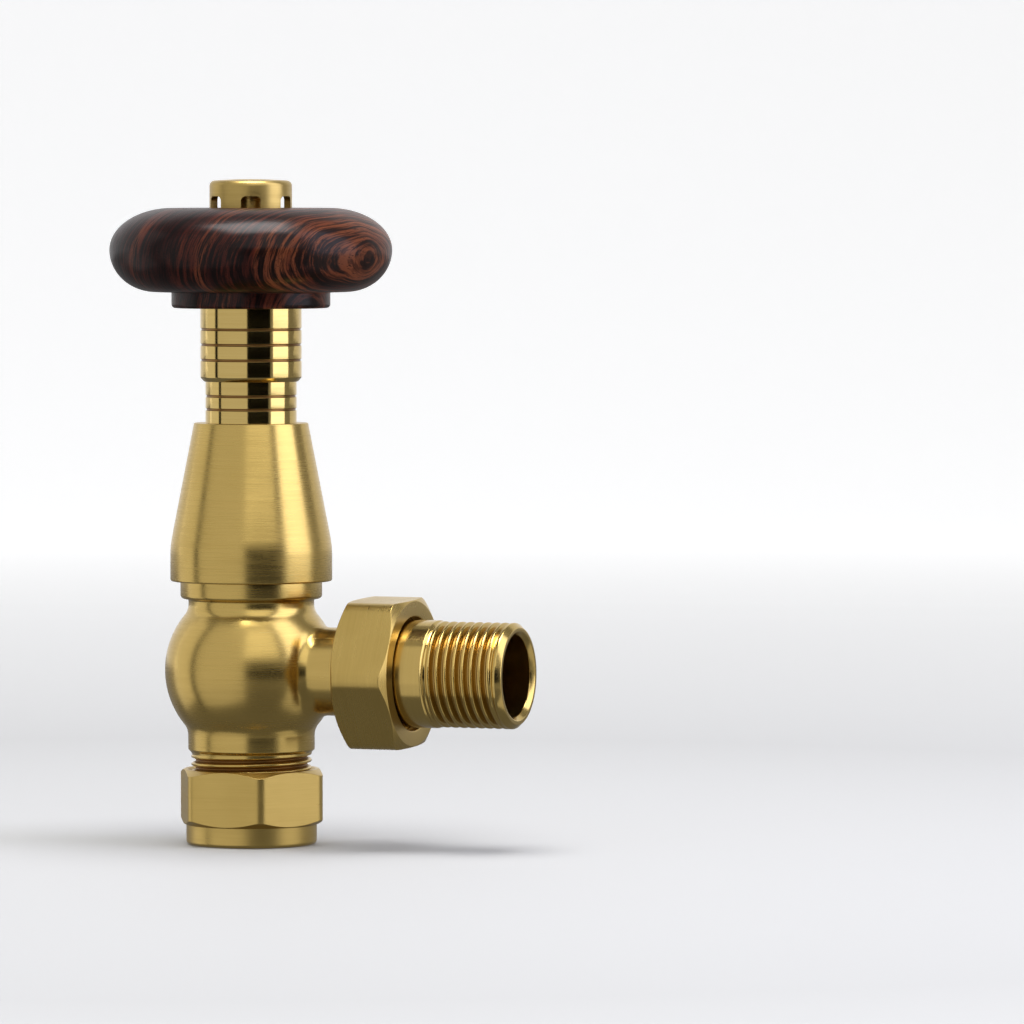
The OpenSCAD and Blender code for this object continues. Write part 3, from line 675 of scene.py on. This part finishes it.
def makeTail():
    # heights run along the outlet
    t = {"bore": 6.0, "seam": 30, "nose": 7.0, "noseEnd": 28.2, "noseFoot": 8.35,
         "sealGroove": 7.45, "grooveStart": 29.55, "grooveEnd": 31.05, "rim": 9.85, "rimEnd": 31.6,
         "neck": 10.2, "flange": 12.6, "flangeEnd": 32.95, "shank": 10.65, "shankEnd": 40.45,
         "crest": 10.4775, "depth": 1.16, "pitch": 1.814, "threadStart": 41.1, "threadEnd": 56.0,
         "end": 57.3, "endRadius": 9.55, "mouth": 8.0, "mouthEdge": 8.8,
         "key": 12.2, "keyStart": 36, "keyEnd": 41}
    key = hexRadius(t["key"], 0.2, 20, -90)
    front = rounded([
        ("bore", "seam", 0), ("bore", "noseEnd", 0.2), ("nose", "noseEnd", 0.15),
        ("noseFoot", "grooveStart", 0.05), ("sealGroove", "grooveStart", 0.1),
        ("sealGroove", "grooveEnd", 0.1), ("rim", "grooveEnd", 0.05),
        ("neck", t["rimEnd"] - 0.2, 0.05), ("neck", "rimEnd", 0.05), ("flange", "rimEnd", 0.2),
        ("flange", "flangeEnd", 0.2), ("shank", "flangeEnd", 0.1), ("shank", "shankEnd", 0.15),
        ("neck", t["shankEnd"] + 0.35, 0.15), ("crest", "threadStart", 0)], t)
    back = rounded([
        ("crest", "threadEnd", 0), ("crest", t["threadEnd"] + 0.3, 0.3), ("endRadius", "end", 0.25),
        ("mouthEdge", "end", 0.2), ("mouth", t["end"] - 0.8, 0.3), ("mouth", "keyEnd", 0)], t)
    hexagon = [(key, t["keyEnd"]), (key, t["keyStart"]), (t["bore"], t["keyStart"]),
               (t["bore"], t["seam"])]
    bm = bmesh.new()
    turned(bm, front, threadSides, place=alongOutlet)
    turned(bm, back + hexagon, threadSides, place=alongOutlet)
    addThread(bm, t["crest"], t["depth"], t["pitch"], t["threadStart"], t["threadEnd"], 1.0, 1.4,
              alongOutlet)
    piece = finished(bm, "radiatorTail", sharp=38)
    settle(piece, "union_tail", "tail", "turnedX")

    def shade(p):
        # painted shade that darkens the deeper a point lies down the bore, and oxide, half as
        # strong, in the thread's grooves
        radius = np.hypot(p[:, 1], p[:, 2] - outletZ)
        # painted shade: darker the further a point lies inside the bore
        boreShade = 0.55 * np.clip((56.2 - p[:, 0]) / 12, 0, 1) * (radius < t["mouth"] + 0.3)
        return 0.5 * inGroove(radius, p[:, 0], t["crest"], t["depth"], 40.5, 56.2) + boreShade
    addGrimeAndShade(piece, shade)


def makeSmallRings():
    o = {"bore": 7.6, "end": 7.75, "bottom": 3.25, "top": 8.1, "crown": 9.2, "crownBottom": 4.85,
         "crownTop": 5.8}
    profile = rounded([
        ("bore", 5, 0), ("bore", "bottom", 0.1), ("end", "bottom", 0.05),
        ("crown", "crownBottom", 0.3), ("crown", "crownTop", 0.3), ("end", "top", 0.05),
        ("bore", "top", 0.05), ("bore", 5.5, 0)], o)
    olive = turnedPiece("pipeOlive", profile, 160)
    settle(olive, "compression_olive", "olive", "innerZ")
    s = {"radius": 8.2, "along": 30.3, "section": 0.7}
    section = arc((s["radius"], s["along"]), s["section"], 0, 345, 24)
    seal = turnedPiece("tailSeal", section, 128, alongOutlet)
    settle(seal, "tail_seal_ring", "tail", "rubber")


makeCompressionNut()
makeUnionNut()
makeTail()
makeSmallRings()
print("nuts, olive and tail made")


# sleeves and shroud

def ringGroove(radius, height):
    # a fine turned ring, as points of a profile
    floor = radius - 0.25
    return [(radius, height - 0.26, 0.05), (floor, height - 0.14, 0.05),
            (floor, height + 0.14, 0.05), (radius, height + 0.26, 0.05)]


def sleeveGrime(piece, radius, heights):
    # darkens the turned rings
    def shade(p):
        r = np.hypot(p[:, 0], p[:, 1])
        near = np.min([np.abs(p[:, 2] - h) for h in heights], axis=0) < 0.3
        return np.where(near & (r > radius - 0.3), (radius - r) / 0.22, 0)
    addGrimeAndShade(piece, shade)


def makeGuideSleeve():
    g = {"radius": 9.1, "bore": 6.2, "seam": 80, "bottom": 70.2, "skirt": 9.05, "skirtBottom": 65.1,
         "foot": 11.5, "footTop": 72.1, "grooves": (86.6, 89.25), "step": 94.1, "relief": 7.1,
         "thread": 8.0, "threadStart": 95.1, "threadEnd": 104, "lead": 2.65, "depth": 0.8,
         "clip": 7.3, "clipBottom": 104.3, "clipTop": 105.2, "top": 106}
    low = rounded([
        ("bore", "seam", 0), ("bore", "bottom", 0.1), ("skirt", "bottom", 0.1),
        ("skirt", "skirtBottom", 0.2), ("foot", "skirtBottom", 0.3), ("foot", "footTop", 0.4),
        ("radius", "footTop", 0.4)]
        + [p for h in g["grooves"] for p in ringGroove(g["radius"], h)]
        + [("radius", "step", 0.3), ("relief", "step", 0.1), ("relief", g["step"] + 0.4, 0.1),
           ("thread", "threadStart", 0)], g)
    high = rounded([
        ("thread", "threadEnd", 0), ("thread", "clipBottom", 0.05), ("clip", "clipBottom", 0.05),
        ("clip", "clipTop", 0.05), ("thread", "clipTop", 0.05), ("thread", "top", 0.3),
        ("bore", "top", 0.2), ("bore", "seam", 0)], g)
    bm = bmesh.new()
    turned(bm, low, threadSides)
    turned(bm, high, threadSides)
    addThread(bm, g["thread"], g["depth"], g["lead"], g["threadStart"], g["threadEnd"], 1.0, 1.0,
              starts=2)
    piece = finished(bm, "guideSleeve")
    settle(piece, "guide_sleeve", "valve", "turnedZ")
    sleeveGrime(piece, g["radius"], g["grooves"])


def makeUpperSleeve():
    u = {"radius": 10.1, "start": 92.1, "chamfer": 0.75, "chamferHeight": 0.85, "top": 119,
         "bore": 9.2, "step": 113, "capBore": 8.25, "grooves": (96.4, 99.45, 102.5)}
    profile = rounded([
        ("bore", 100, 0), ("bore", "start", 0.15), (u["radius"] - u["chamfer"], "start", 0.2),
        ("radius", u["start"] + u["chamferHeight"], 0.35)]
        + [p for h in u["grooves"] for p in ringGroove(u["radius"], h)]
        + [("radius", "top", 0.2), ("capBore", "top", 0.2), ("capBore", "step", 0.1),
           ("bore", "step", 0.1), ("bore", 101, 0)], u)
    piece = turnedPiece("upperSleeve", profile, 160)
    settle(piece, "upper_sleeve", "wheel", "turnedZ")
    sleeveGrime(piece, u["radius"], u["grooves"])


def makeShroud():
    c = {"foot": 16.1, "bottom": 52.4, "bend": 57.7, "bendRadius": 18.9, "lean": 11, "top": 83.9,
         "wall": 1.4, "hole": 9.15, "roof": 2.1}

    def outline(wall, top):
        foot, bendRadius = c["foot"] - wall, c["bendRadius"] - wall
        bend = arc((foot - bendRadius, c["bend"]), bendRadius, 0, c["lean"], 9)
        radius, height = bend[-1]
        topRadius = radius - (top - height) * math.tan(math.radians(c["lean"]))
        return [(*p, 0) for p in bend] + [(topRadius, top, 0.25)]

    outer, inner = outline(0, c["top"]), outline(c["wall"], c["top"] - c["roof"])
    profile = rounded([
        (c["foot"] - c["wall"], 54, 0), (c["foot"] - c["wall"], "bottom", 0.3),
        ("foot", "bottom", 0.4)]
        + outer
        + [("hole", "top", 0.25), ("hole", c["top"] - c["roof"], 0.2)]
        + inner[::-1], c)
    piece = turnedPiece("coneShroud", profile, 192)
    settle(piece, "cone_shroud", "valve", "satinZ")


makeGuideSleeve()
makeUpperSleeve()
makeShroud()
print("sleeves and shroud made")


# handwheel and cap

def makeHandwheel():
    w = {"bottom": 106.7, "collar": 15.8, "collarTop": 109.9, "rim": 28.1, "half": 8.35,
         "crown": 15.6, "flat": 19.0, "dish": 124.6, "dishEdge": 10.4, "shoulder": 13,
         "capHole": 8.3, "bush": 12.45, "bushBottom": 107.9, "bushTop": 119, "sleeveHole": 10.2}
    middle = w["collarTop"] + w["half"]
    top = middle + w["half"]

    def ellipse(centre, first, last, count):
        return [(centre + (w["rim"] - centre) * math.cos(a), middle + w["half"] * math.sin(a), 0)
                for a in np.radians(np.linspace(first, last, count))]

    profile = rounded([
        ("sleeveHole", 107.4, 0), ("sleeveHole", "bottom", 0.2), ("collar", "bottom", 0.8),
        ("collar", "collarTop", 0.2)]
        + ellipse(w["flat"], -90, 0, 40)
        + ellipse(w["crown"], 0, 90, 48)[1:]
        + [("shoulder", top - 0.4, 4), ("dishEdge", w["dish"] + 0.5, 2), ("capHole", "dish", 0.3),
           ("capHole", "bushTop", 0.2), ("bush", "bushTop", 0.2), ("bush", "bushBottom", 0.2),
           ("sleeveHole", "bushBottom", 0.2), ("sleeveHole", 107.5, 0)], w)
    piece = turnedPiece("handwheelWood", profile, 224, sharp=50)
    settle(piece, "handwheel", "wheel", "rosewood")


def slotTree():
    # cuts a ring of evenly spaced slots with copies of one cutter
    tree, given, out = newTree("slotRing", {
        "Count": "NodeSocketInt", "Turn": "NodeSocketFloat", "Cutter": "NodeSocketObject",
        "Material": "NodeSocketMaterial"})
    points = addNode(tree, "GeometryNodePoints", {"Count": given["Count"]})
    step = calc(tree, "DIVIDE", 2 * math.pi, given["Count"])
    index = tree.nodes.new("GeometryNodeInputIndex").outputs[0]
    turn = addNode(tree, "ShaderNodeCombineXYZ",
                   {"Z": calc(tree, "MULTIPLY_ADD", index, step, given["Turn"])})
    cutter = addNode(tree, "GeometryNodeObjectInfo", {"Object": given["Cutter"]})
    place = addNode(tree, "GeometryNodeInstanceOnPoints", {
        "Points": points.outputs[0], "Instance": cutter.outputs["Geometry"],
        "Rotation": turn.outputs[0]})
    solid = addNode(tree, "GeometryNodeRealizeInstances", {"Geometry": place.outputs[0]})
    cut = addNode(tree, "GeometryNodeMeshBoolean", {
        "Mesh 1": given["Geometry"], "Mesh 2": solid.outputs[0]},
        operation="DIFFERENCE", solver="EXACT")
    closeTree(tree, cut.outputs["Mesh"], given, out)
    return tree


def makeVentCap():
    c = {"radius": 8.2, "bottom": 114, "top": 132.3, "edge": 1.5, "dome": 0.35, "skirt": 7.0,
         "step": 122.5, "bore": 6.8, "roof": 130.7, "slots": 6, "turn": 53.5, "slotWidth": 3.9,
         "slotTop": 128.9, "slotBottom": 125.2, "slotCorner": 1.0}
    dome = [(r, c["top"] - c["dome"] * (r / c["radius"]) ** 2, 0)
            for r in np.linspace(0.3, 6.2, 12)]
    profile = rounded([
        (0, "roof", 0), ("bore", "roof", 0.8), ("bore", "step", 0.1), ("skirt", "step", 0.1),
        ("skirt", "bottom", 0.1), ("radius", "bottom", 0.2),
        ("radius", c["top"] - c["dome"], "edge")]
        + dome[::-1]
        + [(0, "top", 0)], c)
    bm = bmesh.new()
    turned(bm, profile, 160)
    cap = finished(bm, "ventCap")
    # one slot, with rounded corners, through the wall along X
    half, corner = c["slotWidth"] / 2, c["slotCorner"]
    outline = rounded([
        (0, "slotBottom", 0), (half, "slotBottom", 0.3), (half, "slotTop", corner),
        (0, "slotTop", 0)], c)
    outline += [(-r, h) for r, h in outline[-2:0:-1]]
    bm = bmesh.new()
    near, far = ([bm.verts.new((x * mm, y * mm, z * mm)) for y, z in outline] for x in (4, 10))
    for k in range(len(outline)):
        bm.faces.new((near[k - 1], near[k], far[k], far[k - 1]))
    bm.faces.new(near[::-1])
    bm.faces.new(far)
    cutter = finished(bm, "slotCutter")
    cap.data = grown(slotTree(), {"Count": c["slots"], "Turn": math.radians(c["turn"]),
                                  "Cutter": cutter}, base=cap)
    bpy.data.objects.remove(cutter)
    cap.data.set_sharp_from_angle(angle=math.radians(35))
    settle(cap, "vent_cap", "wheel", "capZ")


makeHandwheel()
makeVentCap()
print("handwheel and cap made")


# springs and what stays inside

def springTree():
    tree, given, out = newTree("coilSpring", {
        "Turns": "NodeSocketFloat", "Radius": "NodeSocketFloat", "Wire": "NodeSocketFloat",
        "Bottom": "NodeSocketFloat", "Top": "NodeSocketFloat", "Material": "NodeSocketMaterial"})
    # the height runs between the middles of the first and the last wire
    double = calc(tree, "MULTIPLY", given["Wire"], 2)
    rise = calc(tree, "SUBTRACT", calc(tree, "SUBTRACT", given["Top"], given["Bottom"]), double)
    spiral = addNode(tree, "GeometryNodeCurveSpiral", {
        "Resolution": 36, "Rotations": given["Turns"], "Start Radius": given["Radius"],
        "End Radius": given["Radius"], "Height": rise})
    section = addNode(tree, "GeometryNodeCurvePrimitiveCircle",
                      {"Resolution": 12, "Radius": given["Wire"]})
    sweep = addNode(tree, "GeometryNodeCurveToMesh", {
        "Curve": spiral.outputs[0], "Profile Curve": section.outputs[0], "Fill Caps": True})
    lift = addNode(tree, "ShaderNodeCombineXYZ",
                   {"Z": calc(tree, "ADD", given["Bottom"], given["Wire"])})
    move = addNode(tree, "GeometryNodeTransform",
                   {"Geometry": sweep.outputs[0], "Translation": lift.outputs[0]})
    closeTree(tree, move.outputs[0], given, out)
    return tree


coilSpring = springTree()


def makeSpring(name, s):
    mesh = grown(coilSpring, {
        "Turns": s["turns"], "Radius": s["radius"] * mm, "Wire": s["wire"] * mm,
        "Bottom": s["bottom"] * mm, "Top": s["top"] * mm})
    bm = bmesh.new()
    bm.from_mesh(mesh)
    bpy.data.meshes.remove(mesh)
    return finished(bm, name)


returnSize = {"turns": 6.0, "radius": 5.2, "wire": 0.45, "bottom": 43.52, "top": 55.48,
              "blendStart": 43.6, "blendEnd": 55.4}
returnSpring = makeSpring("returnSpring", returnSize)
paint(returnSpring, "steel")
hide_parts("return_spring")
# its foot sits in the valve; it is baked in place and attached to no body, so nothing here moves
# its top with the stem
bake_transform(returnSpring)

overSize = {"turns": 5.0, "radius": 5.6, "wire": 0.45, "bottom": 114.05, "top": 121.45}
overSpring = makeSpring("overtravelSpring", overSize)
settle(overSpring, "overtravel_spring", "sensor", "steel")

# the finishes of the CAD nodes that are kept as they are
keptNodes = {
    "innerZ": ("spring_plate", "bonnet", "gland_nut", "disc_holder", "sleeve_lock_nut", "lead_nut",
               "wheel_bush"),
    "rubber": ("bonnet_seal", "stem_seal_rings", "valve_disc", "shroud_grip_ring"),
    "steel": ("valve_stem", "disc_clip", "travel_stop_ring", "bush_grub_screws", "push_rod"),
    "capsule": ("sensor_capsule",),
    "plastic": ("sensor_cradle",),
}
for finish, names in keptNodes.items():
    for node in names:
        paint(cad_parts[node], finish)
print("springs and inner pieces made")


# camera, floor and light

# angles in degrees, lengths in metres, the lens in millimetres
view = {"azimuth": 21.7, "elevation": 2.4, "distance": 1.55, "lens": 273.8, "aside": 0.0519,
        "height": 0.0661}
viewTurn = math.radians(view["azimuth"])
toCamera = Vector((math.sin(viewTurn), -math.cos(viewTurn), 0))
toRight = Vector((math.cos(viewTurn), math.sin(viewTurn), 0))
aim = toRight * view["aside"] + Vector((0, 0, view["height"]))


def facing(place, target):
    # the turn that points an object's -Z from its place to a target
    return (place - target).to_track_quat("Z", "Y").to_matrix().to_4x4()


def makeCamera():
    lift = math.radians(view["elevation"])
    camera = bpy.data.objects.new("camera", bpy.data.cameras.new("camera"))
    scene.collection.objects.link(camera)
    camera.data.lens = view["lens"]
    camera.data.sensor_width = 36
    camera.data.clip_end = 20
    place = aim + (toCamera * math.cos(lift) + Vector((0, 0, math.sin(lift)))) * view["distance"]
    camera.matrix_world = Matrix.Translation(place) @ facing(place, aim)
    scene.camera = camera


def makeFloor():
    # a pale sweep: a flat floor, then a wide curve up to an upright back
    f = {"level": -0.0001, "front": -3.0, "back": 2.2, "bend": 0.9, "top": 2.6, "half": 3.5,
         "steps": 24, "near": 0.47, "far": 0.86, "nearGlow": 0.03, "farGlow": 0.42,
         "fadeStart": 0.3, "fadeEnd": 1.3}
    bend = [(f["back"] - f["bend"] * (1 - math.sin(a)), f["level"] + f["bend"] * (1 - math.cos(a)))
            for a in np.linspace(0, math.pi / 2, f["steps"])]
    flat = [(f["front"], f["level"]), bend[0]]
    upright = bend + [(f["back"], f["top"])]
    material, tree, shader, place = newMaterial("paleFloor")
    # greyer near the object, where the lights are close, and paler and faintly glowing far off
    away = addNode(tree, "ShaderNodeVectorMath", {0: place}, operation="LENGTH").outputs["Value"]

    def fade(near, far):
        return span(tree, away, f["fadeStart"], f["fadeEnd"], near, far)

    fill(tree, shader, {
        "Base Color": mixColour(tree, fade(0, 1), [f["near"]] * 3, [f["far"]] * 3),
        "Emission Color": (1, 1, 1, 1), "Emission Strength": fade(f["nearGlow"], f["farGlow"]),
        "Roughness": 0.7, "Specular IOR Level": 0.2})
    for name, path in (("floor", flat), ("backdrop", upright)):
        bm = bmesh.new()
        rows = [[bm.verts.new(toRight * side - toCamera * d + Vector((0, 0, h)))
                 for side in (-f["half"], f["half"])] for d, h in path]
        for low, high in zip(rows, rows[1:]):
            bm.faces.new((low[0], low[1], high[1], high[0]))
        sheet = linked(bm, name)
        sheet.data.shade_smooth()
        sheet.data.materials.append(material)
        # the floor is kept out of reflections, where the dark table stands in for it
        sheet.visible_glossy = name == "backdrop"


def panelPlace(bearing, distance, height):
    # a place round the object, by its bearing in degrees to the right of the camera
    a = math.radians(bearing)
    return (toCamera * math.cos(a) + toRight * math.sin(a)) * distance + Vector((0, 0, height))


def makeLight(name, bearing, distance, height, width, tall, strength, colour=(1, 1, 1),
              targetHeight=0.07):
    data = bpy.data.lights.new(name, "AREA")
    data.shape = "RECTANGLE"
    data.size = width
    data.size_y = tall
    data.energy = strength * width * tall * math.pi
    data.color = colour
    light = bpy.data.objects.new(name, data)
    scene.collection.objects.link(light)
    place = panelPlace(bearing, distance, height)
    light.matrix_world = Matrix.Translation(place) @ facing(place, Vector((0, 0, targetHeight)))
    light.visible_camera = False


def makeFlag(name, bearing, distance, width, low, high):
    # a black card that only shows in reflections
    bm = bmesh.new()
    side = panelPlace(bearing + 90, 1, 0) * (width / 2)
    corners = [panelPlace(bearing, distance, height) + side * way
               for way, height in ((-1, low), (1, low), (1, high), (-1, high))]
    bm.faces.new([bm.verts.new(c) for c in corners])
    reflectedOnly(linked(bm, name), 0.001, {"Specular IOR Level": 0})


def makeGround():
    # a wide dark table top, well below, that only shows in reflections
    bm = bmesh.new()
    bmesh.ops.create_circle(bm, cap_ends=True, segments=48, radius=2.2,
                            matrix=Matrix.Translation((0, 0, -0.7)))
    reflectedOnly(linked(bm, "darkTable"), 0.01,
                  {"Emission Color": (1, 1, 1, 1), "Emission Strength": 0.15})


def reflectedOnly(card, grey, values):
    # paints a card and keeps it out of everything but reflections
    material, tree, shader, _ = newMaterial(card.name)
    fill(tree, shader, {"Base Color": (grey, grey, grey, 1), **values})
    card.data.materials.append(material)
    card.visible_camera = False
    card.visible_diffuse = False
    card.visible_shadow = False


def makeSurround(strength):
    world = bpy.data.worlds.new("studio")
    scene.world = world
    world.use_nodes = True
    fill(world.node_tree, world.node_tree.nodes["Background"],
         {"Color": (1, 1, 1, 1), "Strength": strength})


# bearings in degrees to the right of the camera, lengths in metres, strength as radiance
lights = {
    "leftBox": {"bearing": -43, "distance": 0.8, "height": 0.35, "width": 1.16, "tall": 2.1,
                "strength": 0.46, "targetHeight": 0.35},
    "leftWall": {"bearing": -106, "distance": 1.3, "height": 0.2, "width": 0.85, "tall": 2.4,
                 "strength": 0.62, "targetHeight": 0.2},
    "rightStrip": {"bearing": 74, "distance": 0.65, "height": 0.68, "width": 0.5, "tall": 1.3,
                   "strength": 2.2, "colour": (0.95, 0.98, 1.2), "targetHeight": 0.68},
    "rightLow": {"bearing": 74, "distance": 0.65, "height": -0.29, "width": 0.5, "tall": 0.62,
                 "strength": 0.45, "targetHeight": -0.29},
    "topBox": {"bearing": 20, "distance": 0.05, "height": 0.95, "width": 0.5, "tall": 0.5,
               "strength": 12.0},
    "frontTop": {"bearing": 17, "distance": 0.9, "height": 0.92, "width": 0.82, "tall": 1.2,
                 "strength": 1.05, "targetHeight": 0.92},
}
flags = {
    "darkCard": {"bearing": 20, "distance": 1.0, "width": 1.0, "low": -0.14, "high": 0.28},
    "leftGap": {"bearing": -83, "distance": 0.9, "width": 0.09, "low": -0.7, "high": 1.2},
}
makeCamera()
makeFloor()
makeSurround(0.28)
for name, values in lights.items():
    makeLight(name, **values)
for name, values in flags.items():
    makeFlag(name, **values)
makeGround()
scene.view_settings.view_transform = "Standard"
print("camera, floor and light set")
